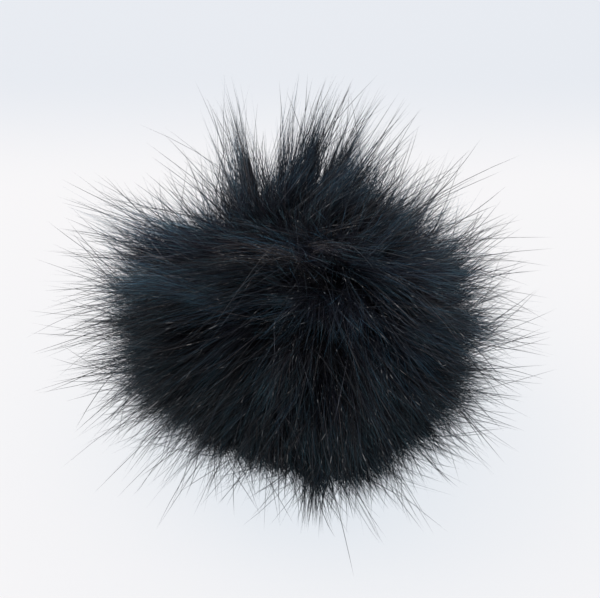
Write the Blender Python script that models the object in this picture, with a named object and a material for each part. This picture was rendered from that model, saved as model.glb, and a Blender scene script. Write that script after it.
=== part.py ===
"""A fluffy fur pom pom: one ball of long combed pile, lying on its base.

The pile is one piece. Its packed heart is a low ball with a small flat spot
where it sits, and every lock grows out of that heart as a three-sided tuft
that fans out, bends over and tapers to a point. Units are metres, +Z is up,
-Y is the front, and the origin is on the floor under the middle of the ball.
"""

import math
import random

import bmesh
import bpy
from mathutils import Vector

# Heart of the pile, where the locks are packed too tightly to tell apart.
HEART_HALF = Vector((0.0430, 0.0380, 0.0340))
HEART_CENTRE = Vector((0.0, 0.0040, 0.0360))
# Rounded shape that the tips of the locks reach, before tufts and strays. Its
# lower half is deeper, until the floor presses it up.
REACH_HALF = Vector((0.0680, 0.0620, 0.0500))
REACH_CENTRE = Vector((0.0, 0.0040, 0.0460))
REACH_BELOW = 0.0600

# Locks: one for each triangle between CELL_CORNERS points spread over the heart,
# apart from the FLAT_FACES lowest ones. Those are the flat spot that it sits on,
# drawn in from the locks round it.
CELL_CORNERS = 160
CORNER_JITTER = 0.050
FLAT_FACES = 24
FLAT_INSET = 0.080
ROOT_GAP = 0.020
LOCK_RINGS = (
    # share of the lock's length, share of its cell's width, most width
    (0.20, 0.80, 0.0050),
    (0.45, 0.66, 0.0044),
    (0.68, 0.46, 0.0032),
    (0.86, 0.24, 0.0017),
)
# Shares of the way from the heart to the reach, and metres that a tip strays.
MEAN_LENGTH = 1.15
LENGTH_SPREAD = 0.12
STRAY = 0.0015
ROOT_STIFFNESS = 0.20

# Comb: the pile turns away from the crown, and strokes sweep its tips on from there.
CROWN_AZIMUTH = 50
CROWN_ELEVATION = 74
COMB_ALL_ROUND = 0.18
# Strokes are blended by nearness; where none is near the pile runs from the crown.
STROKES = (
    # azimuth, elevation, spread, heading (degrees; 0 is up and 90 counterclockwise), strength
    (25, 67, 13, 262, 0.85),
    (-20, 72, 15, 240, 0.80),
    (-60, 56, 20, 207, 0.70),
    (-82, 36, 22, 200, 0.50),
    (-27, 42, 16, 195, 0.80),
    (5, 42, 16, 183, 0.75),
    (35, 40, 16, 172, 0.70),
    (60, 54, 12, 220, 0.60),
    (75, 38, 18, 185, 0.50),
    (-38, 14, 24, 188, 0.75),
    (-70, 0, 22, 200, 0.50),
    (5, 12, 22, 182, 0.60),
    (45, 10, 22, 180, 0.55),
    (120, 45, 20, 150, 0.35),
    (84, 80, 10, 165, 0.45),
    (-165, 68, 12, 285, 0.40),
    (165, 50, 14, 270, 0.30),
    (-156, 46, 10, 0, 0.00),
    (-120, 50, 14, 180, 0.10),
)
STROKES_FADE = 0.15
# The comb reaches its full push about this far from the crown.
WHORL = math.radians(20)
# The comb dies out towards the floor, between these heights on the unit sphere.
COMB_FADES_FROM = 0.60
COMB_ENDS_AT = -0.90

# The floor presses the lowest locks level, softly, about this raw height.
FLOOR_LEVEL = 0.0015
FLOOR_SOFTNESS = 0.0030

# Tufts that stand proud of the round shape, and hollows between them.
TUFTS = (
    # azimuth, elevation, spread across and up (degrees), reach added, share drawn together
    (-160, 39, 6, 16, 0.18, 0.50),
    (-170, 42, 4, 18, -0.22, 0.00),
    (-130, 40, 9, 22, -0.24, 0.00),
    (-106, 62, 12, 11, -0.16, 0.00),
    (-106, 33, 9, 9, 0.06, 0.20),
    (-96, 12, 10, 10, -0.07, 0.00),
    (-176, 43, 6, 12, 0.12, 0.40),
    (166, 41, 10, 14, 0.14, 0.40),
    (143, 36, 9, 14, -0.06, 0.00),
    (105, 18, 20, 20, -0.10, 0.00),
    (80, -8, 16, 13, -0.10, 0.00),
    (-79, -10, 14, 12, -0.07, 0.00),
    (-28, -38, 24, 18, -0.12, 0.00),
    (16, -41, 8, 10, 0.06, 0.30),
    (0, -90, 42, 42, -0.08, 0.00),
)
# A tuft draws its neighbours together from this much further out than it spreads.
DRAWN_FROM = 1.6

COLOUR = (0.010, 0.013, 0.018, 1.0)
ROUGHNESS = 0.75
SEED = 11
GOLDEN_ANGLE = math.pi * (3 - math.sqrt(5))


def clear_scene():
    for obj in list(bpy.data.objects):
        bpy.data.objects.remove(obj, do_unlink=True)


def direction_of(azimuth, elevation):
    """Unit vector; azimuth 0 is the front and 90 the right, in degrees."""
    turn, lift = math.radians(azimuth), math.radians(elevation)
    return Vector(
        (
            math.sin(turn) * math.cos(lift),
            -math.cos(turn) * math.cos(lift),
            math.sin(lift),
        )
    )


def above_floor(raw):
    """Raw height to real height: nearly level near the floor, free above it."""
    return FLOOR_SOFTNESS * math.log1p(math.exp((raw - FLOOR_LEVEL) / FLOOR_SOFTNESS))


def heart_point(outward):
    """Raw point of the heart's surface in this direction."""
    return HEART_CENTRE + Vector(h * d for h, d in zip(HEART_HALF, outward))


def nearness(outward, azimuth, elevation, across, up):
    """1 in this direction, falling to nothing a few spreads away from it."""
    pole = direction_of(azimuth, elevation)
    sideways = outward.dot(direction_of(azimuth + 90, 0)) / math.radians(across)
    upwards = outward.dot(direction_of(azimuth, elevation + 90)) / math.radians(up)
    facing = min(1.0, max(0.0, 2 * outward.dot(pole)))
    return facing * math.exp(-(sideways**2) - upwards**2)


def combed(outward):
    """The direction that the tip lies in, pushed along by every stroke of the comb."""
    crown = direction_of(CROWN_AZIMUTH, CROWN_ELEVATION)
    away = (outward - crown * outward.dot(crown)).normalized()
    push = away * COMB_ALL_ROUND * math.tanh(outward.angle(crown) / WHORL) * STROKES_FADE
    nearby = STROKES_FADE
    for azimuth, elevation, spread, heading, strength in STROKES:
        near = nearness(outward, azimuth, elevation, spread, spread)
        ahead = direction_of(azimuth, elevation + 90) * math.cos(math.radians(heading))
        aside = direction_of(azimuth + 90, 0) * math.sin(math.radians(heading))
        push += (ahead + aside) * near * strength
        nearby += near
    above = (outward.z - COMB_ENDS_AT) / (COMB_FADES_FROM - COMB_ENDS_AT)
    towards = (outward + push / nearby * min(1.0, max(0.0, above))).normalized()
    drawn = Vector()
    for azimuth, elevation, across, up, _, share in TUFTS:
        near = nearness(towards, azimuth, elevation, DRAWN_FROM * across, DRAWN_FROM * up)
        drawn += (direction_of(azimuth, elevation) - towards) * near * share
    return (towards + drawn).normalized()


def reach_point(outward):
    """Raw point that the tip of the lock from this direction reaches."""
    towards = combed(outward)
    half = REACH_HALF.copy()
    if towards.z < 0:
        half.z = REACH_BELOW
    for azimuth, elevation, across, up, added, _ in TUFTS:
        half += REACH_HALF * added * nearness(towards, azimuth, elevation, across, up)
    return REACH_CENTRE + Vector(h * d for h, d in zip(half, towards))


def path_point(outward, along, length_share=1.0):
    """Raw point of the pile's grain from the heart (0) to the tips (1)."""
    root = heart_point(outward)
    tip = root + (reach_point(outward) - root) * length_share
    normal = Vector(d / h for d, h in zip(outward, HEART_HALF)).normalized()
    middle = root + normal * (tip - root).length * ROOT_STIFFNESS
    return root * (1 - along) ** 2 + middle * 2 * along * (1 - along) + tip * along**2


def real_point(raw):
    return Vector((raw.x, raw.y, above_floor(raw.z)))


def cells(chance):
    """Unit sphere of uneven triangles, one for each lock or piece of the flat spot."""
    ball = bmesh.new()
    for index in range(CELL_CORNERS):
        height = 1 - (2 * index + 1) / CELL_CORNERS
        turn = index * GOLDEN_ANGLE
        flat = math.sqrt(1 - height**2)
        corner = Vector((flat * math.cos(turn), flat * math.sin(turn), height))
        shift = Vector(chance.uniform(-1, 1) for _ in range(3)) * CORNER_JITTER
        ball.verts.new((corner + shift).normalized())
    bmesh.ops.convex_hull(ball, input=ball.verts)
    bmesh.ops.recalc_face_normals(ball, faces=ball.faces)
    return ball


def grow_lock(ball, face, chance):
    """Turns one face of the heart into a tapered lock, ring by ring."""
    bmesh.ops.inset_individual(ball, faces=[face], thickness=ROOT_GAP)
    corners = [loop.vert.co.normalized() for loop in face.loops]
    roots = [loop.vert for loop in face.loops]
    centre = sum(corners, Vector()).normalized()
    length = MEAN_LENGTH + chance.uniform(-LENGTH_SPREAD, LENGTH_SPREAD)
    stray = Vector(chance.uniform(-1, 1) for _ in range(3)) * STRAY
    for along, width, most in LOCK_RINGS:
        face = bmesh.ops.extrude_discrete_faces(ball, faces=[face])["faces"][0]
        middle = path_point(centre, along, length)
        for loop, corner in zip(face.loops, corners):
            out = (path_point(corner, along, length) - middle) * width
            if out.length > most:
                out *= most / out.length
            loop.vert.co = real_point(middle + out + stray * along**2)
    tip = bmesh.ops.poke(ball, faces=[face])["verts"][0]
    tip.co = real_point(path_point(centre, 1.0, length) + stray)
    return roots


def pile_mesh():
    chance = random.Random(SEED)
    ball = cells(chance)
    by_height = sorted(ball.faces, key=lambda face: face.calc_center_median().z)
    flat_spot = by_height[:FLAT_FACES]
    bmesh.ops.inset_region(ball, faces=flat_spot, thickness=FLAT_INSET)
    heart = list(ball.verts)
    for face in by_height[FLAT_FACES:]:
        heart += grow_lock(ball, face, chance)
    for vertex in heart:
        vertex.co = real_point(heart_point(vertex.co.normalized()))
    for face in flat_spot:
        for vertex in face.verts:
            vertex.co.z = 0.0
    mesh = bpy.data.meshes.new("pile")
    ball.to_mesh(mesh)
    ball.free()
    return mesh


def fur_material():
    material = bpy.data.materials.new("black_fur")
    material.use_nodes = True
    shader = material.node_tree.nodes["Principled BSDF"]
    shader.inputs["Base Color"].default_value = COLOUR
    shader.inputs["Roughness"].default_value = ROUGHNESS
    shader.inputs["Metallic"].default_value = 0.0
    return material


def main():
    clear_scene()
    collection = bpy.data.collections.new("pom_pom")
    bpy.context.scene.collection.children.link(collection)
    pile = bpy.data.objects.new("fur_pile", pile_mesh())
    pile.data.materials.append(fur_material())
    pile.data.shade_smooth()
    pile.data.set_sharp_from_angle(angle=math.radians(50))
    collection.objects.link(pile)


main()
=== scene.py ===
"""Looks of the fur pom pom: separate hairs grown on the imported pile's own grain.

Every hair is a closed three-sided tapering strand. It starts on the heart of
the ball, follows the comb away from the crown and is drawn together with its
neighbours, first into a wisp and then into a bundle of wisps. A lumpy core
fills the ball where the pile is too dense to see into. Units are metres, +Z is
up and -Y is the front.
"""

import math
import random

import bmesh
import bpy
import numpy as np
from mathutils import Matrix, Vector
from mathutils.kdtree import KDTree


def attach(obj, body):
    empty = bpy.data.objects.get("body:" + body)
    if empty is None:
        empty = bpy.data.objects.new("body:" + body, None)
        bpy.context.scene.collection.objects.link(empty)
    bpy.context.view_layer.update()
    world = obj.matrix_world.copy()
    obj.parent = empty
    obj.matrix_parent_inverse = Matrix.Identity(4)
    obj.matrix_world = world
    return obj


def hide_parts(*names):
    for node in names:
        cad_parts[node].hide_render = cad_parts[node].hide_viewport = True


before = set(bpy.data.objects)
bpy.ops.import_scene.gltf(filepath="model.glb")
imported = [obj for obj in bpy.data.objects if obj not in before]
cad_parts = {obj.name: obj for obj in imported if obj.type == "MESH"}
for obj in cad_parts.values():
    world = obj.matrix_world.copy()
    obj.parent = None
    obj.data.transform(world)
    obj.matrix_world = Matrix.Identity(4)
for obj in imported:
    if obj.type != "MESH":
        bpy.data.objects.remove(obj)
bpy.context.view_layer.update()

# ---------------------------------------------------------------------------
# The pile's form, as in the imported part
# ---------------------------------------------------------------------------
HEART_HALF = np.array((0.0430, 0.0380, 0.0340))
HEART_CENTRE = np.array((0.0, 0.0040, 0.0360))
REACH_HALF = np.array((0.0680, 0.0620, 0.0500))
REACH_CENTRE = np.array((0.0, 0.0040, 0.0460))
REACH_BELOW = 0.0600
FLOOR_LEVEL = 0.0015
FLOOR_SOFTNESS = 0.0030
ROOT_STIFFNESS = 0.20

CELL_CORNERS = 160
CORNER_JITTER = 0.050
FLAT_FACES = 24
LENGTH_SPREAD = 0.12
PART_SEED = 11
GOLDEN_ANGLE = math.pi * (3 - math.sqrt(5))

CROWN_AZIMUTH = 50
CROWN_ELEVATION = 74
WHORL = math.radians(20)
COMB_ALL_ROUND = 0.18
COMB_FADES_FROM = 0.60
COMB_ENDS_AT = -0.90
# The comb's strokes, blended by nearness; where none is near it runs from the crown.
STROKES = (
    # azimuth, elevation, spread, heading (degrees; 0 is up and 90 counterclockwise), strength
    (25, 67, 13, 262, 0.85),
    (-20, 72, 15, 240, 0.80),
    (-60, 56, 20, 207, 0.70),
    (-82, 36, 22, 200, 0.50),
    (-27, 42, 16, 195, 0.80),
    (5, 42, 16, 183, 0.75),
    (35, 40, 16, 172, 0.70),
    (60, 54, 12, 220, 0.60),
    (75, 38, 18, 185, 0.50),
    (-38, 14, 24, 188, 0.75),
    (-70, 0, 22, 200, 0.50),
    (5, 12, 22, 182, 0.60),
    (45, 10, 22, 180, 0.55),
    (120, 45, 20, 150, 0.35),
    (84, 80, 10, 165, 0.45),
    (-165, 68, 12, 285, 0.40),
    (165, 50, 14, 270, 0.30),
    (-156, 46, 10, 0, 0.00),
    (-120, 50, 14, 180, 0.10),
)
STROKES_FADE = 0.15

# Tufts that stand proud of the round shape, and hollows between them.
TUFTS = (
    # azimuth, elevation, spread across and up (degrees), reach added, share drawn together
    (-160, 40, 4.5, 16, 0.27, 0.60),
    (-169, 42, 4, 18, -0.24, 0.00),
    (-132, 37, 12, 26, -0.33, 0.00),
    (-108, 58, 12, 14, -0.22, 0.00),
    (-111, 31, 9, 10, 0.10, 0.20),
    (-96, 11, 10, 10, -0.14, 0.00),
    (-176, 43, 5, 12, 0.16, 0.60),
    (166, 41, 9, 14, 0.20, 0.50),
    (143, 36, 9, 14, -0.06, 0.00),
    (128, 36, 12, 16, -0.12, 0.00),
    (105, 18, 20, 20, -0.14, 0.00),
    (80, -8, 16, 13, -0.14, 0.00),
    (58, -28, 14, 12, -0.10, 0.00),
    (-79, -10, 14, 12, -0.09, 0.00),
    (-56, -34, 14, 14, -0.12, 0.00),
    (-28, -38, 24, 18, -0.16, 0.00),
    (16, -41, 8, 10, 0.06, 0.30),
    (0, -90, 42, 42, -0.08, 0.00),
)
# A tuft draws its neighbours together from this much further out than it spreads.
DRAWN_FROM = 1.6

# ---------------------------------------------------------------------------
# Hair
# ---------------------------------------------------------------------------
SEED = 4
# Hairs are drawn into wisps, and wisps into bundles: how many of each, how far their
# lengths vary, and how far wisps are pulled to their bundle, lean and stray.
BUNDLES = 170
BUNDLE_LENGTHS = (0.90, 1.10)
BUNDLE_PULL = 0.50
WISPS = 950
WISP_LEAN = 0.32
WISP_STRAY = 0.0015
WISP_LENGTHS = (0.78, 1.10)
# Bundles and wisps come to a point: their outer hairs are shorter by these shares.
BUNDLE_POINTED = 0.28
WISP_POINTED = 0.20
# Height on the unit sphere that the hair starts from.
LOWEST_ROOT = -0.84
# No hair reaches past this rounded shape, and they end up to a share short of it.
LIMIT_CENTRE = np.array((-0.0016, 0.0033, 0.0460))
LIMIT_HALF = np.array((0.0848, 0.0802, 0.0626))
LIMIT_POWER = 3
LIMIT_VARIES = 0.12
# Hairs stand closer in a tuft and thinner in a hollow, within these shares, and closer
# round the crown too: their roots are chosen from this many times as many places.
CHOICE = 2
CROWDING = 6.0
CROWN_CROWDING = 1.0
THINNEST, THICKEST = 0.25, 2.5

HAIR_KINDS = (
    # name, hairs, width, shortest, longest share of the reach, share of the hollows followed,
    # pull to wisp, stray, askew, curl, rings, power of the taper
    ("underfur_inner", 12000, 0.00023, 0.58, 0.95, 1.0, 0.80, 0.0012, 0.04, 0.0005, 3, 2),
    ("underfur_outer", 12000, 0.00017, 0.68, 1.06, 1.0, 0.76, 0.0016, 0.07, 0.0008, 3, 2),
    ("fringe_hair", 9000, 0.00014, 0.80, 1.26, 1.0, 0.82, 0.0018, 0.10, 0.0009, 4, 3),
    ("fine_hair", 10500, 0.00010, 0.75, 1.32, 0.85, 0.68, 0.0028, 0.20, 0.0011, 3, 2),
    ("guard_hair", 5500, 0.00014, 0.92, 1.50, 0.5, 0.58, 0.0040, 0.27, 0.0012, 4, 4),
    ("long_hair", 1700, 0.00022, 1.20, 1.80, 0.3, 0.40, 0.0045, 0.30, 0.0018, 6, 5),
    ("light_hair", 1200, 0.00020, 0.80, 1.15, 1.0, 0.20, 0.0040, 0.40, 0.0012, 5, 3),
)
# Most hairs are nearer their kind's shortest length, by this power.
MOSTLY_SHORT = 1.4
# Short hair that hangs round the foot of the ball, rooted between these heights on
# the unit sphere. It is of the first of the furs.
FLOOR_HAIR = ("floor_hair", 1450, 0.00028, 0.60, 1.00, 1.0, 0.30, 0.0016, 0.20, 0.0010, 3, 2)
FLOOR_HAIR_FROM, FLOOR_HAIR_TO = -0.84, -0.40
FLOOR_HAIR_DROP = 0.45
# Here the pile ends more evenly, and the finer and longer kinds stand thinner, by these shares.
THINNED_KINDS = ("fine_hair", "guard_hair", "long_hair")
THINNED = (
    # azimuth, elevation, spread across and up (degrees), share left out
    (-25, -28, 48, 20, 0.70),
    (35, -34, 24, 16, 0.50),
)
MOST_THINNED = 0.05
# Hairs in a tuft that adds this much reach lean and stray less, by this share.
TUFT_CALM = 0.75
TUFT_FULL = 0.12
# Turns of a hair's wave, in radians from its root to its tip.
WAVING = 5
# A tuft that hangs to the floor at the front, and single hairs that lie there.
LONE_HAIRS = (
    # root's azimuth and elevation, tip's place, rise, hairs, width, how far their tips scatter
    (9, -38, 0.0045, -0.0450, 0.0060, 0.004, 45, 0.00015, 0.0050),
    (7, -38, 0.0015, -0.0480, 0.0035, 0.004, 28, 0.00015, 0.0035),
    (9, -38, 0.0100, -0.0470, 0.0050, 0.004, 30, 0.00015, 0.0070),
    (10, -30, 0.0165, -0.0665, 0.0005, 0.004, 1, 0.00022, 0.0000),
    (12, -30, 0.0250, -0.0550, 0.0010, 0.004, 4, 0.00016, 0.0030),
    (34, -25, 0.0370, -0.0480, 0.0010, 0.004, 5, 0.00016, 0.0060),
    (-48, -25, -0.0520, -0.0330, 0.0010, 0.004, 5, 0.00016, 0.0060),
)
# Fair hairs that lie along the parting, left of the crown; their fair colour is partly their own
# and partly a painted highlight along the ridge of the parting.
PARTING_HAIRS = (
    # the same columns
    (36, 60, -0.0265, -0.0200, 0.0890, 0.017, 16, 0.00012, 0.0040),
    (26, 63, -0.0130, -0.0215, 0.0920, 0.016, 14, 0.00012, 0.0040),
    (52, 62, 0.0030, -0.0200, 0.0930, 0.015, 12, 0.00012, 0.0045),
)
LONE_RINGS = 7
LONE_TAPER_POWER = 4
LONE_TONES = (0.55, 0.90)
LONE_CLEARANCE = 0.0002
# How far their roots, arches and tips stray: on the unit sphere, and as shares of the scatter.
LONE_ROOTS_STRAY = 0.05
LONE_ARCHES_STRAY = 0.3
LONE_TIPS_STRAY = 0.5

SIDES = 3
# Hairs start this share of the way out, inside the core, and their rings stand
# closer together towards the tip, which is this share thinner than the root.
ROOT_ALONG = 0.22
RING_SPACING = 0.85
TAPER = 0.75
WIDTHS = (0.75, 1.25)
STRAY_SPREAD = 0.5
# No hair runs along this direction, from which the strands' sides are turned.
SIDES_FROM = np.array((0.31, 0.17, 0.94))
# Each strand has a narrow column of the UV map: by its tone across, by its length up.
UV_MARGIN = 0.01
UV_TONES = 0.96
UV_SIDE = 0.005
UV_LENGTH = 0.98

# Share of a hair's tone that comes from its wisp, and the margin that tones keep.
WISP_TONE = 0.42
TONE_MARGIN = 0.03
# Patches of warmer and cooler hair: waves over the ball that add up, which are the hair's own
# tones, and a warmer front against cooler, tealer back and sides, which is painted glow of
# backlit hair.
WARM_WAVES = np.array(((9.0, 4.0, 2.0), (-5.0, 8.0, 6.0), (3.0, -7.0, 11.0)))
WAVE_PHASES = (1, 2, 4)
WAVE_SIZE = 0.6
WARM_SIDE = (0, 10)
PAINTED_GLOW_BIAS = 1.2
WARM_FROM = 0.15
WARM_MIXED = 0.4
# Painted light and shade: places where the hairs are made lighter where light falls on them or
# darker where they are in shade, with a painted highlight along the ridge of the parting.
PAINTED_LIGHT_AND_SHADE = (
    # azimuth, elevation, spread across and up (degrees), added to the hairs' tone
    (-14, 73, 16, 5, 0.55),
    (-150, 42, 30, 16, 0.06),
    (170, 42, 26, 18, -0.12),
    (-45, 8, 30, 26, -0.42),
    (-92, 36, 27, 30, 0.44),
    (80, 30, 24, 24, 0.16),
    (-10, -38, 60, 24, -0.48),
)

# ---------------------------------------------------------------------------
# Core
# ---------------------------------------------------------------------------
CORE_SUBDIVISIONS = 5
# Its depth between and on the bases of the locks, as shares of the locks' length.
CORE_DEPTH = 0.16
CORE_LUMPS = 0.20
CORE_LUMP_SPREAD = math.radians(6)
CORE_DRAWN = 0.3
# Lumps fade out above this height on the unit sphere, and it is flat under the next one.
CORE_LUMPS_END = -0.90
CORE_LUMPS_FADE = 0.30
CORE_FLAT_BELOW = -0.86
# Its foot is drawn in under the hair by this share, from this height in metres.
CORE_FOOT_DRAWN_IN = 0.14
CORE_FOOT_HEIGHT = 0.012
CORE_DARK = (0.005, 0.0055, 0.007)
CORE_LIGHT = (0.012, 0.013, 0.017)
CORE_ROUGHNESS = 0.85
CORE_SHINE = 0.15
CORE_GRAIN = 900

# ---------------------------------------------------------------------------
# Colours of the hair
# ---------------------------------------------------------------------------
COOL = (0.86, 0.94, 1.17)
WARM = (1.06, 0.96, 1.00)
TONES = (
    # place in the tone attribute, strength, tint: cool hairs first, then warm ones
    (0.0, 0.40, COOL),
    (0.26, 0.80, COOL),
    (0.42, 1.80, COOL),
    (0.495, 3.20, COOL),
    (0.505, 0.40, WARM),
    (0.76, 0.80, WARM),
    (0.92, 1.80, WARM),
    (1.0, 3.20, WARM),
)
DARK_ROOT = (0.0085, 0.0088, 0.0115)
# Shares of the way along a hair where the root's colour ends and the tip's is reached.
ROOT_COLOUR_ENDS = 0.45
TIP_COLOUR_AT = 0.78
# Painted glints: flecks of lighter colour that stand in for highlights on the hairs: how close
# they are over the tones and along a hair, and the noise between which they appear.
PAINTED_GLINT_FLECKS = (400, 14, 1)
PAINTED_GLINTS_FROM = 0.66
PAINTED_GLINTS_FULL = 0.72
NIGHT_SHEEN = (0.92, 0.95, 1.0)
TEAL_SHEEN = (0.65, 0.88, 1.0)
WARM_SHEEN = (1.0, 0.97, 0.95)
FURS = (
    # name, colour near the tip and at its end (the end's lighter teal is partly painted glow of
    # light
    #     shining through the hair), roughness, shine, sheen, colour of the painted glints
    ("fur_deep", (0.0175, 0.0155, 0.0205), (0.016, 0.019, 0.025),
     0.50, 0.08, NIGHT_SHEEN, (0.04, 0.05, 0.06)),
    ("fur_blue", (0.0225, 0.0205, 0.027), (0.029, 0.052, 0.066),
     0.45, 0.10, NIGHT_SHEEN, (0.10, 0.11, 0.12)),
    ("fur_teal", (0.020, 0.0235, 0.029), (0.072, 0.160, 0.190),
     0.40, 0.14, TEAL_SHEEN, (0.20, 0.22, 0.24)),
    ("fur_fine", (0.024, 0.030, 0.0365), (0.110, 0.255, 0.300),
     0.38, 0.18, TEAL_SHEEN, (0.25, 0.27, 0.29)),
    ("fur_brown", (0.027, 0.029, 0.032), (0.048, 0.085, 0.105),
     0.34, 0.28, NIGHT_SHEEN, (0.32, 0.31, 0.31)),
    ("fur_long", (0.014, 0.016, 0.018), (0.010, 0.014, 0.017),
     0.28, 0.25, NIGHT_SHEEN, (0.25, 0.25, 0.25)),
    # Fair hairs, their lightness partly their own and partly painted highlight.
    ("fur_light", (0.074, 0.070, 0.069), (0.125, 0.122, 0.120),
     0.25, 0.55, WARM_SHEEN, (0.65, 0.61, 0.58)),
)

# ---------------------------------------------------------------------------
# Stage, lights and camera
# ---------------------------------------------------------------------------
PAPER_HALF = 3.0
PAPER_COLOUR = (0.182, 0.123, 0.077)
PAPER_ROUGHNESS = 0.9
PAPER_SHINE = 0.1
# The paper glows, near and far, and turns from one to the other behind the ball.
PAPER_NEAR = (0.862, 0.925, 0.998)
PAPER_FAR = (0.706, 0.812, 0.929)
PAPER_GLOW = 0.845
PAPER_TURNS_FROM, PAPER_TURNS_TO = 0.12, 0.20
SKY_FRONT = (0.20, 0.21, 0.22)
SKY_BACK = (1.16, 1.19, 1.25)
SKY_LIFT = 1.4
SKY_FROM, SKY_TO = -0.5, 1.6
LAMP_POWER = 50.0
LAMP_SIZE = 2.7
LAMP_PLACE = (-2.25, 1.05, 2.25)
LAMP_AIM = (0, 0, 0.04)
CAMERA_DISTANCE = 0.60
CAMERA_ELEVATION = math.radians(42)
CAMERA_TARGET = (0, 0, 0.046)
# The target lies this many pixels under the middle of the frame, which is this many
# pixels wide, each of this many metres.
TARGET_DROP = 21
METRES_PER_PIXEL = 0.000315
FRAME_PIXELS = 600
SENSOR_WIDTH = 36
CAMERA_CLIP = 0.01


def direction_of(azimuth, elevation):
    """Unit vector; azimuth 0 is the front and 90 the right, in degrees."""
    turn, lift = math.radians(azimuth), math.radians(elevation)
    return np.array(
        (
            math.sin(turn) * math.cos(lift),
            -math.cos(turn) * math.cos(lift),
            math.sin(lift),
        )
    )


CROWN = direction_of(CROWN_AZIMUTH, CROWN_ELEVATION)


def unit(vectors):
    length = np.linalg.norm(vectors, axis=-1, keepdims=True)
    return vectors / np.maximum(length, 1e-9)


def angle_to(directions, pole):
    return np.arccos(np.clip(directions @ pole, -1, 1))


def above_floor(raw):
    """Raw height to real height: nearly level near the floor, free above it."""
    return FLOOR_SOFTNESS * np.logaddexp(0, (raw - FLOOR_LEVEL) / FLOOR_SOFTNESS)


def nearness(outward, azimuth, elevation, across, up):
    """1 in this direction, falling to nothing a few spreads away from it."""
    pole = direction_of(azimuth, elevation)
    sideways = outward @ direction_of(azimuth + 90, 0) / math.radians(across)
    upwards = outward @ direction_of(azimuth, elevation + 90) / math.radians(up)
    facing = np.clip(2 * (outward @ pole), 0, 1)
    return (facing * np.exp(-(sideways**2) - upwards**2))[:, None]


def combed(outward):
    """The directions that the tips lie in, pushed along by the strokes of the comb."""
    away = unit(outward - CROWN * (outward @ CROWN)[:, None])
    push = away * (COMB_ALL_ROUND * np.tanh(angle_to(outward, CROWN) / WHORL))[:, None]
    push *= STROKES_FADE
    nearby = np.full((len(outward), 1), STROKES_FADE)
    for azimuth, elevation, spread, heading, strength in STROKES:
        near = nearness(outward, azimuth, elevation, spread, spread)
        ahead = direction_of(azimuth, elevation + 90) * math.cos(math.radians(heading))
        aside = direction_of(azimuth + 90, 0) * math.sin(math.radians(heading))
        push = push + near * strength * (ahead + aside)
        nearby = nearby + near
    above = (outward[:, 2] - COMB_ENDS_AT) / (COMB_FADES_FROM - COMB_ENDS_AT)
    towards = unit(outward + push / nearby * np.clip(above, 0, 1)[:, None])
    drawn = np.zeros_like(towards)
    for azimuth, elevation, across, up, _, share in TUFTS:
        near = nearness(towards, azimuth, elevation, DRAWN_FROM * across, DRAWN_FROM * up)
        drawn += (direction_of(azimuth, elevation) - towards) * near * share
    return unit(towards + drawn)


def tuft_reach(towards):
    """Share of reach that the tufts and hollows add to the tips that lie here."""
    share = np.zeros((len(towards), 1))
    for azimuth, elevation, across, up, added, _ in TUFTS:
        share += added * nearness(towards, azimuth, elevation, across, up)
    return share


def reach_point(outward, hollow):
    """Raw points that tips reach; hollow is the share of the hollows that they follow."""
    towards = combed(outward)
    half = np.tile(REACH_HALF, (len(towards), 1))
    half[towards[:, 2] < 0, 2] = REACH_BELOW
    added = tuft_reach(towards)
    added = np.where(added < 0, added * hollow, added)
    return REACH_CENTRE + (half + REACH_HALF * added) * towards


def path_points(roots, tips, along, length, hollow=1.0):
    """Points at these shares of the way along hairs that curve from root to tip directions."""
    root = HEART_CENTRE + HEART_HALF * roots
    tip = root + (reach_point(tips, hollow) - root) * length[:, None]
    reach = np.linalg.norm(tip - root, axis=1)[:, None]
    middle = root + unit(roots / HEART_HALF) * reach * ROOT_STIFFNESS
    return [
        root * (1 - step) ** 2 + middle * 2 * step * (1 - step) + tip * step**2 for step in along
    ]


def pile_locks():
    """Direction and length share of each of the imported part's locks."""
    chance = random.Random(PART_SEED)
    ball = bmesh.new()
    for index in range(CELL_CORNERS):
        height = 1 - (2 * index + 1) / CELL_CORNERS
        turn = index * GOLDEN_ANGLE
        flat = math.sqrt(1 - height**2)
        corner = Vector((flat * math.cos(turn), flat * math.sin(turn), height))
        shift = Vector(chance.uniform(-1, 1) for _ in range(3)) * CORNER_JITTER
        ball.verts.new((corner + shift).normalized())
    bmesh.ops.convex_hull(ball, input=ball.verts)
    by_height = sorted(ball.faces, key=lambda face: face.calc_center_median().z)
    centres = []
    lengths = []
    for face in by_height[FLAT_FACES:]:
        centres.append(face.calc_center_median().normalized())
        # The part draws a length and then a stray of three numbers, which isn't needed here.
        lengths.append(1 + chance.uniform(-LENGTH_SPREAD, LENGTH_SPREAD))
        for _ in range(3):
            chance.random()
    ball.free()
    return np.array(centres), np.array(lengths)


def spread_directions(count, chance):
    """About evenly spaced directions, none of them in the flat spot."""
    index = np.arange(count)
    height = 1 - (1 - LOWEST_ROOT) * (index + 0.5) / count
    turn = index * GOLDEN_ANGLE
    flat = np.sqrt(1 - height**2)
    even = np.stack((flat * np.cos(turn), flat * np.sin(turn), height), 1)
    spacing = math.sqrt(4 * math.pi / count)
    return unit(even + chance.uniform(-0.5, 0.5, (count, 3)) * spacing)


def table_sum(rows, directions):
    """What the rows of a table of places add up to in these directions."""
    total = np.zeros((len(directions), 1))
    for azimuth, elevation, across, up, added in rows:
        total += added * nearness(directions, azimuth, elevation, across, up)
    return total[:, 0]


def low_directions(count, chance):
    """Roots of hairs round the foot of the ball."""
    height = chance.uniform(FLOOR_HAIR_FROM, FLOOR_HAIR_TO, count)
    turn = chance.uniform(0, 2 * math.pi, count)
    flat = np.sqrt(1 - height**2)
    return np.stack((flat * np.cos(turn), flat * np.sin(turn), height), 1)


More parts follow.
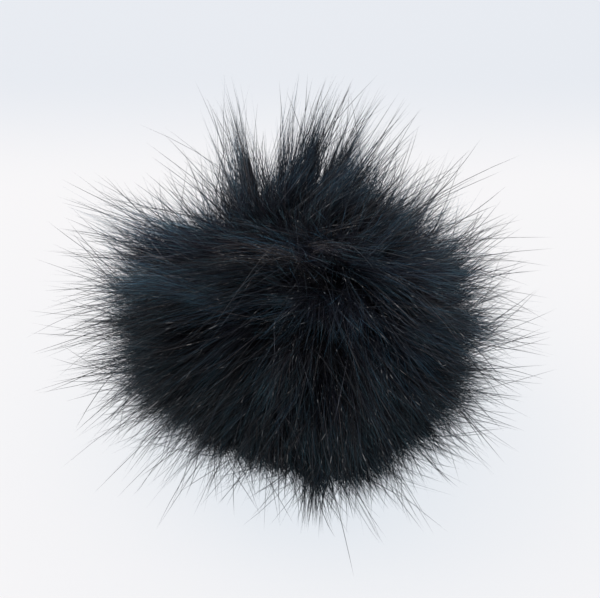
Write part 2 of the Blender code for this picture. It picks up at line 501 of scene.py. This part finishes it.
def crowded_directions(name, count, chance):
    """Roots of hairs: more of them where a tuft stands, fewer in the hollows."""
    choice = spread_directions(CHOICE * count, chance)
    crowd = np.clip(1 + CROWDING * tuft_reach(combed(choice))[:, 0], THINNEST, THICKEST)
    crowd *= 1 + CROWN_CROWDING * np.exp(-((angle_to(choice, CROWN) / WHORL) ** 2))
    if name in THINNED_KINDS:
        crowd *= np.clip(1 - table_sum(THINNED, choice), MOST_THINNED, 1)
    kept = chance.choice(CHOICE * count, count, replace=False, p=crowd / crowd.sum())
    return choice[np.sort(kept)]


def nearest(points, targets):
    tree = KDTree(len(targets))
    for index, target in enumerate(targets):
        tree.insert(target, index)
    tree.balance()
    return np.array([tree.find(point)[1] for point in points])


def strands(name, paths, widths, along, tone):
    """One mesh of closed three-sided strands that taper to a point."""
    count, rings = paths.shape[:2]
    rings -= 1
    tangents = unit(np.gradient(paths, axis=1))
    side = unit(np.cross(tangents, SIDES_FROM))
    other = np.cross(tangents, side)
    corners = []
    for step in range(SIDES):
        turn = 2 * math.pi * step / SIDES
        out = side * math.cos(turn) + other * math.sin(turn)
        corners.append(paths[:, :rings] + out[:, :rings] * widths[:, :rings, None] / 2)
    ring_points = np.stack(corners, 2).reshape(count, rings * SIDES, 3)
    points = np.concatenate((ring_points, paths[:, rings:]), 1)
    each = rings * SIDES + 1

    quads = []
    triangles = [list(range(SIDES))[::-1]]
    for ring in range(rings - 1):
        for step in range(SIDES):
            after = (step + 1) % SIDES
            low = ring * SIDES
            high = low + SIDES
            quads.append((low + step, low + after, high + after, high + step))
    for step in range(SIDES):
        low = (rings - 1) * SIDES
        triangles.append((low + step, low + (step + 1) % SIDES, each - 1))
    starts = (np.arange(count) * each)[:, None]
    corner_list = np.concatenate(
        (
            (starts + np.array(quads).reshape(1, -1)),
            (starts + np.array(triangles).reshape(1, -1)),
        ),
        1,
    ).ravel()
    sizes = np.tile([4] * len(quads) + [3] * len(triangles), count)

    mesh = bpy.data.meshes.new(name)
    mesh.vertices.add(count * each)
    mesh.vertices.foreach_set("co", points.ravel().astype(np.float32))
    mesh.loops.add(len(corner_list))
    mesh.loops.foreach_set("vertex_index", corner_list.astype(np.int32))
    mesh.polygons.add(len(sizes))
    loop_starts = np.concatenate(([0], np.cumsum(sizes)[:-1]))
    mesh.polygons.foreach_set("loop_start", loop_starts.astype(np.int32))
    mesh.polygons.foreach_set("loop_total", sizes.astype(np.int32))
    mesh.update(calc_edges=True)

    ring_along = np.concatenate((np.repeat(along[:rings], SIDES), along[rings:]))
    ring_side = np.concatenate((np.tile(np.arange(SIDES), rings), [1]))
    layer = mesh.uv_layers.new(name="OFBake")
    per_point = np.stack(
        (
            np.repeat(UV_MARGIN + UV_TONES * tone, each) + np.tile(ring_side, count) * UV_SIDE,
            np.tile(UV_MARGIN + UV_LENGTH * ring_along, count),
        ),
        1,
    )
    layer.uv.foreach_set("vector", per_point[corner_list].ravel().astype(np.float32))
    for key, values in (("tone", np.repeat(tone, each)), ("along", np.tile(ring_along, count))):
        mesh.attributes.new(key, "FLOAT", "POINT").data.foreach_set(
            "value", values.astype(np.float32)
        )
    mesh.shade_smooth()
    piece = bpy.data.objects.new(name, mesh)
    bpy.context.scene.collection.objects.link(piece)
    return piece


def pointed(directions, centres, home, loss):
    """Share of length left to each direction, least at the edge of its centre's patch."""
    patch = math.sqrt(4 / len(centres))
    apart = np.linalg.norm(directions - centres[home], axis=1) / patch
    return 1 + loss / 2 - loss * np.clip(apart, 0, 1)


def make_wisps(bundles, chance):
    """Small bunches that hairs are drawn into, and that are drawn into the bundles."""
    centres = spread_directions(WISPS, chance)
    home = nearest(centres, bundles)
    waves = sum(np.sin(centres @ wave + turn) for wave, turn in zip(WARM_WAVES, WAVE_PHASES))
    # Warmer front, cooler and tealer back and sides: painted glow of hair seen against the light.
    front = centres @ direction_of(*WARM_SIDE)
    warmth_and_glow = WAVE_SIZE * waves + PAINTED_GLOW_BIAS * (front - WARM_FROM)
    length = chance.uniform(*BUNDLE_LENGTHS, len(bundles))[home]
    length *= pointed(centres, bundles, home, BUNDLE_POINTED)
    length *= chance.uniform(*WISP_LENGTHS, WISPS)
    length = 1 + (length - 1) * np.clip(1 - table_sum(THINNED, centres), 0, 1)
    return {
        "centre": centres,
        "gathered": unit(centres * (1 - BUNDLE_PULL) + bundles[home] * BUNDLE_PULL),
        "warmth_and_glow": warmth_and_glow,
        "lean": unit(chance.normal(0, 1, (WISPS, 3))) * chance.uniform(0, WISP_LEAN, (WISPS, 1)),
        "stray": chance.normal(0, WISP_STRAY, (WISPS, 3)),
        "length": length,
        "tone": chance.uniform(0, 1, WISPS),
    }


def within_limit(paths, chance):
    """Draws in every hair whose tip would reach past the limit, root kept."""
    root = paths[:, :1]
    inside = np.linalg.norm((root[:, 0] - LIMIT_CENTRE) / LIMIT_HALF, LIMIT_POWER, axis=1)
    outside = np.linalg.norm((paths[:, -1] - LIMIT_CENTRE) / LIMIT_HALF, LIMIT_POWER, axis=1)
    most = 1 - LIMIT_VARIES * chance.uniform(0, 1, len(paths)) ** 2
    share = np.clip((most - inside) / np.maximum(outside - inside, 1e-6), 0, 1)
    return root + (paths - root) * share[:, None, None]


def grow_hair(kind, roots, wisps, chance, drop=0.0):
    """One kind of hair from these roots; drop turns the tips down towards the floor."""
    name, count, width, shortest, longest, hollow, to_wisp, stray, askew, curl, rings, late = kind
    wisp = nearest(roots, wisps["centre"])
    hair_length = shortest + (longest - shortest) * chance.uniform(0, 1, count) ** MOSTLY_SHORT
    hair_length *= wisps["length"][wisp] * pointed(roots, wisps["centre"], wisp, WISP_POINTED)
    calm = 1 - TUFT_CALM * np.clip(tuft_reach(combed(roots)) / TUFT_FULL, 0, 1)
    lean = unit(chance.normal(0, 1, (count, 3))) * chance.uniform(0, askew, (count, 1))
    lean = (lean + wisps["lean"][wisp]) * calm
    lean[:, 2] -= drop
    drift = (wisps["stray"][wisp] + chance.normal(0, STRAY_SPREAD, (count, 3)) * stray) * calm
    wave = unit(chance.normal(0, 1, (count, 3))) * curl
    phase = chance.uniform(0, 2 * math.pi, count)[:, None]
    along = ROOT_ALONG + (1 - ROOT_ALONG) * np.linspace(0, 1, rings + 1) ** RING_SPACING
    tips = unit(roots * (1 - to_wisp) + wisps["gathered"][wisp] * to_wisp + lean)
    points = path_points(roots, tips, along, hair_length, hollow)
    points = [
        place + drift * step**2 + wave * np.sin(phase + WAVING * step)
        for place, step in zip(points, along)
    ]
    paths = within_limit(np.stack(points, 1), chance)
    paths[:, :, 2] = above_floor(paths[:, :, 2]) + width
    taper = 1 - TAPER * ((along - ROOT_ALONG) / (1 - ROOT_ALONG)) ** late
    widths = width * taper[None, :] * chance.uniform(*WIDTHS, (count, 1))
    light = WISP_TONE * wisps["tone"][wisp] + (1 - WISP_TONE) * chance.uniform(0, 1, count)
    # Painted light and shade, by where the tips lie, is added to the tone.
    light = np.clip(light + table_sum(PAINTED_LIGHT_AND_SHADE, combed(tips)), TONE_MARGIN, 1 - TONE_MARGIN)
    warm = wisps["warmth_and_glow"][wisp] + chance.normal(0, WARM_MIXED, count) > 0
    return strands(name, paths, widths, along, (warm + light) / 2)


def placed_hairs(name, rows, chance):
    """Hairs set one by one from a table, arching out of the pile."""
    along = np.linspace(0, 1, LONE_RINGS + 1)
    paths = []
    widths = []
    for azimuth, elevation, right, back, up, rise, count, width, scatter in rows:
        near = direction_of(azimuth, elevation) + chance.normal(0, LONE_ROOTS_STRAY, (count, 3))
        root = HEART_CENTRE + HEART_HALF * unit(near)
        tip = np.array((right, back, up))
        tip = tip + chance.normal(0, LONE_TIPS_STRAY, (count, 3)) * scatter
        middle = (root + tip) / 2 + (0, 0, rise)
        middle = middle + chance.normal(0, LONE_ARCHES_STRAY, (count, 3)) * scatter
        steps = [
            root * (1 - step) ** 2 + middle * 2 * step * (1 - step) + tip * step**2
            for step in along
        ]
        paths.append(np.stack(steps, 1))
        widths.append(np.full(count, width))
    paths = np.concatenate(paths)
    widths = np.concatenate(widths)[:, None] * (1 - TAPER * along[None, :] ** LONE_TAPER_POWER)
    paths[:, :, 2] = np.maximum(paths[:, :, 2], LONE_CLEARANCE)
    tone = chance.uniform(*LONE_TONES, len(paths))
    return strands(name, paths, widths, along, tone)


def fill_ramp(ramp, stops):
    """Gives a new colour ramp these stops: place and colour, in order."""
    for element, (place, colour) in zip(ramp.elements, (stops[0], stops[-1])):
        element.position = place
        element.color = (*colour, 1)
    for place, colour in stops[1:-1]:
        ramp.elements.new(place).color = (*colour, 1)


def fur_material(name, tip, end_and_glow, roughness, shine, sheen, painted_glint):
    """Dark at the root, lighter at the tip, in many tones, with partly painted glow and painted
    glints.
    """
    material = bpy.data.materials.new(name)
    material.use_nodes = True
    nodes = material.node_tree.nodes
    links = material.node_tree.links
    shader = nodes["Principled BSDF"]
    shader.inputs["Roughness"].default_value = roughness
    shader.inputs["Specular IOR Level"].default_value = shine
    shader.inputs["Specular Tint"].default_value = (*sheen, 1)
    along = nodes.new("ShaderNodeAttribute")
    along.attribute_name = "along"
    tone = nodes.new("ShaderNodeAttribute")
    tone.attribute_name = "tone"
    # The ends' lighter teal is partly painted glow of light shining through the hair.
    by_length = nodes.new("ShaderNodeValToRGB")
    stops = [(ROOT_COLOUR_ENDS, DARK_ROOT), (TIP_COLOUR_AT, tip), (1.0, end_and_glow)]
    fill_ramp(by_length.color_ramp, stops)
    # The tone carries painted light and shade as well as each hair's own tone.
    by_hair = nodes.new("ShaderNodeValToRGB")
    stops = [(place, [strength * shade for shade in tint]) for place, strength, tint in TONES]
    fill_ramp(by_hair.color_ramp, stops)
    both = nodes.new("ShaderNodeMix")
    both.data_type = "RGBA"
    both.blend_type = "MULTIPLY"
    both.inputs[0].default_value = 1.0
    links.new(along.outputs["Fac"], by_length.inputs["Fac"])
    links.new(tone.outputs["Fac"], by_hair.inputs["Fac"])
    links.new(by_length.outputs["Color"], both.inputs[6])
    links.new(by_hair.outputs["Color"], both.inputs[7])
    # Painted glints: noise flecks of lighter colour along the hairs stand in for highlights.
    spot = nodes.new("ShaderNodeCombineXYZ")
    links.new(tone.outputs["Fac"], spot.inputs["X"])
    links.new(along.outputs["Fac"], spot.inputs["Y"])
    stretch = nodes.new("ShaderNodeVectorMath")
    stretch.operation = "MULTIPLY"
    stretch.inputs[1].default_value = PAINTED_GLINT_FLECKS
    links.new(spot.outputs["Vector"], stretch.inputs[0])
    glint_noise = nodes.new("ShaderNodeTexNoise")
    glint_noise.inputs["Scale"].default_value = 1
    glint_noise.inputs["Detail"].default_value = 1
    links.new(stretch.outputs["Vector"], glint_noise.inputs["Vector"])
    painted_glint_mask = nodes.new("ShaderNodeMapRange")
    painted_glint_mask.inputs["From Min"].default_value = PAINTED_GLINTS_FROM
    painted_glint_mask.inputs["From Max"].default_value = PAINTED_GLINTS_FULL
    links.new(glint_noise.outputs["Fac"], painted_glint_mask.inputs["Value"])
    painted_glint_mix = nodes.new("ShaderNodeMix")
    painted_glint_mix.data_type = "RGBA"
    painted_glint_mix.inputs[7].default_value = (*painted_glint, 1)
    links.new(painted_glint_mask.outputs["Result"], painted_glint_mix.inputs[0])
    links.new(both.outputs[2], painted_glint_mix.inputs[6])
    links.new(painted_glint_mix.outputs[2], shader.inputs["Base Color"])
    return material


def core_points(outward, along, length):
    """Points this share of the way along the locks that start in these directions."""
    root = HEART_CENTRE + HEART_HALF * outward
    reach = (reach_point(outward, 1.0) - root) * length[:, None]
    size = np.linalg.norm(reach, axis=1)[:, None]
    middle = unit(outward / HEART_HALF) * size * ROOT_STIFFNESS
    return root + middle * 2 * along * (1 - along) + reach * along**2


def pile_core(locks):
    """The pile where it is too dense to see into, lumpy with the locks' bases."""
    centres, lengths = locks
    ball = bmesh.new()
    bmesh.ops.create_icosphere(ball, subdivisions=CORE_SUBDIVISIONS, radius=1)
    mesh = bpy.data.meshes.new("pile_core")
    ball.to_mesh(mesh)
    ball.free()
    count = len(mesh.vertices)
    flat = np.empty(count * 3, np.float32)
    mesh.vertices.foreach_get("co", flat)
    outward = unit(flat.reshape(-1, 3).astype(float))
    lock = nearest(outward, centres)
    angle = np.arccos(np.clip((outward * centres[lock]).sum(1), -1, 1))
    rise = np.exp(-((angle / CORE_LUMP_SPREAD) ** 2))
    rise *= np.clip((outward[:, 2] - CORE_LUMPS_END) / CORE_LUMPS_FADE, 0, 1)
    along = CORE_DEPTH + CORE_LUMPS * rise
    share = CORE_DRAWN * rise[:, None]
    drawn = unit(outward * (1 - share) + centres[lock] * share)
    place = core_points(drawn, along[:, None], lengths[lock])
    place[:, 2] = above_floor(place[:, 2])
    place[outward[:, 2] < CORE_FLAT_BELOW, 2] = 0
    low = np.clip(1 - place[:, 2:] / CORE_FOOT_HEIGHT, 0, 1)
    place[:, :2] *= 1 - CORE_FOOT_DRAWN_IN * low
    mesh.vertices.foreach_set("co", place.ravel().astype(np.float32))
    mesh.shade_smooth()
    mesh.update()
    piece = bpy.data.objects.new("pile_core", mesh)
    bpy.context.scene.collection.objects.link(piece)
    return piece


def core_material():
    material = bpy.data.materials.new("core_pile")
    material.use_nodes = True
    nodes = material.node_tree.nodes
    links = material.node_tree.links
    shader = nodes["Principled BSDF"]
    shader.inputs["Roughness"].default_value = CORE_ROUGHNESS
    shader.inputs["Specular IOR Level"].default_value = CORE_SHINE
    place = nodes.new("ShaderNodeTexCoord")
    streaks = nodes.new("ShaderNodeTexNoise")
    streaks.inputs["Scale"].default_value = CORE_GRAIN
    ramp = nodes.new("ShaderNodeValToRGB")
    fill_ramp(ramp.color_ramp, [(0.0, CORE_DARK), (1.0, CORE_LIGHT)])
    links.new(place.outputs["Object"], streaks.inputs["Vector"])
    links.new(streaks.outputs["Fac"], ramp.inputs["Fac"])
    links.new(ramp.outputs["Color"], shader.inputs["Base Color"])
    return material


# ---------------------------------------------------------------------------
# Stage
# ---------------------------------------------------------------------------
def stage_floor():
    half = PAPER_HALF
    mesh = bpy.data.meshes.new("stage_floor")
    corners = [(-half, -half, 0), (half, -half, 0), (half, half, 0), (-half, half, 0)]
    mesh.from_pydata(corners, [], [(0, 1, 2, 3)])
    floor = bpy.data.objects.new("stage_floor", mesh)
    bpy.context.scene.collection.objects.link(floor)
    material = bpy.data.materials.new("stage_paper")
    material.use_nodes = True
    nodes = material.node_tree.nodes
    links = material.node_tree.links
    shader = nodes["Principled BSDF"]
    shader.inputs["Roughness"].default_value = PAPER_ROUGHNESS
    shader.inputs["Specular IOR Level"].default_value = PAPER_SHINE
    place = nodes.new("ShaderNodeTexCoord")
    split = nodes.new("ShaderNodeSeparateXYZ")
    ramp = nodes.new("ShaderNodeMapRange")
    ramp.interpolation_type = "SMOOTHSTEP"
    ramp.inputs["From Min"].default_value = PAPER_TURNS_FROM
    ramp.inputs["From Max"].default_value = PAPER_TURNS_TO
    colour = nodes.new("ShaderNodeMix")
    colour.data_type = "RGBA"
    colour.inputs[6].default_value = (*PAPER_NEAR, 1)
    colour.inputs[7].default_value = (*PAPER_FAR, 1)
    links.new(place.outputs["Object"], split.inputs[0])
    links.new(split.outputs["Y"], ramp.inputs["Value"])
    links.new(ramp.outputs["Result"], colour.inputs[0])
    shader.inputs["Base Color"].default_value = (*PAPER_COLOUR, 1)
    links.new(colour.outputs[2], shader.inputs["Emission Color"])
    shader.inputs["Emission Strength"].default_value = PAPER_GLOW
    mesh.materials.append(material)


def stage_light():
    world = bpy.data.worlds.new("studio")
    bpy.context.scene.world = world
    world.use_nodes = True
    nodes = world.node_tree.nodes
    links = world.node_tree.links
    sky = nodes["Background"]
    place = nodes.new("ShaderNodeTexCoord")
    split = nodes.new("ShaderNodeSeparateXYZ")
    links.new(place.outputs["Generated"], split.inputs[0])
    height = nodes.new("ShaderNodeMath")
    height.operation = "MULTIPLY_ADD"
    height.inputs[1].default_value = SKY_LIFT
    links.new(split.outputs["Z"], height.inputs[0])
    links.new(split.outputs["Y"], height.inputs[2])
    towards_back = nodes.new("ShaderNodeMapRange")
    towards_back.inputs["From Min"].default_value = SKY_FROM
    towards_back.inputs["From Max"].default_value = SKY_TO
    links.new(height.outputs[0], towards_back.inputs["Value"])
    shade = nodes.new("ShaderNodeMix")
    shade.data_type = "RGBA"
    shade.inputs[6].default_value = (*SKY_FRONT, 1)
    shade.inputs[7].default_value = (*SKY_BACK, 1)
    links.new(towards_back.outputs["Result"], shade.inputs[0])
    links.new(shade.outputs[2], sky.inputs["Color"])
    data = bpy.data.lights.new("soft_box", "AREA")
    data.energy = LAMP_POWER
    data.size = LAMP_SIZE
    lamp = bpy.data.objects.new("soft_box", data)
    lamp.location = LAMP_PLACE
    aim = Vector(LAMP_AIM) - lamp.location
    lamp.rotation_euler = aim.to_track_quat("-Z", "Y").to_euler()
    bpy.context.scene.collection.objects.link(lamp)


def camera():
    data = bpy.data.cameras.new("camera")
    data.sensor_width = SENSOR_WIDTH
    data.lens = SENSOR_WIDTH * CAMERA_DISTANCE / (FRAME_PIXELS * METRES_PER_PIXEL)
    data.clip_start = CAMERA_CLIP
    eye = bpy.data.objects.new("camera", data)
    back = Vector((0, -math.cos(CAMERA_ELEVATION), math.sin(CAMERA_ELEVATION)))
    up = Vector((0, math.sin(CAMERA_ELEVATION), math.cos(CAMERA_ELEVATION)))
    target = Vector(CAMERA_TARGET) + up * TARGET_DROP * METRES_PER_PIXEL
    eye.location = target + back * CAMERA_DISTANCE
    eye.rotation_euler = (-back).to_track_quat("-Z", "Y").to_euler()
    bpy.context.scene.collection.objects.link(eye)
    bpy.context.scene.camera = eye


camera()
stage_floor()
stage_light()
bpy.context.scene.view_settings.view_transform = "Standard"

chance = np.random.default_rng(SEED)
locks = pile_locks()
bundles = spread_directions(BUNDLES, chance)
wisps = make_wisps(bundles, chance)

core = pile_core(locks)
core.data.materials.append(core_material())
dressed = [core]
for kind, fur in zip(HAIR_KINDS, FURS):
    roots = crowded_directions(kind[0], kind[1], chance)
    piece = grow_hair(kind, roots, wisps, chance)
    piece.data.materials.append(fur_material(*fur))
    dressed.append(piece)

for name, rows, fur in (
    ("lone_hair", LONE_HAIRS, "fur_long"),
    ("parting_hair", PARTING_HAIRS, "fur_light"),
):
    piece = placed_hairs(name, rows, chance)
    piece.data.materials.append(bpy.data.materials[fur])
    dressed.append(piece)

roots = low_directions(FLOOR_HAIR[1], chance)
piece = grow_hair(FLOOR_HAIR, roots, wisps, chance, FLOOR_HAIR_DROP)
piece.data.materials.append(bpy.data.materials["fur_deep"])
dressed.append(piece)

for piece in dressed:
    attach(piece, "root")
    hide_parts("fur_pile")
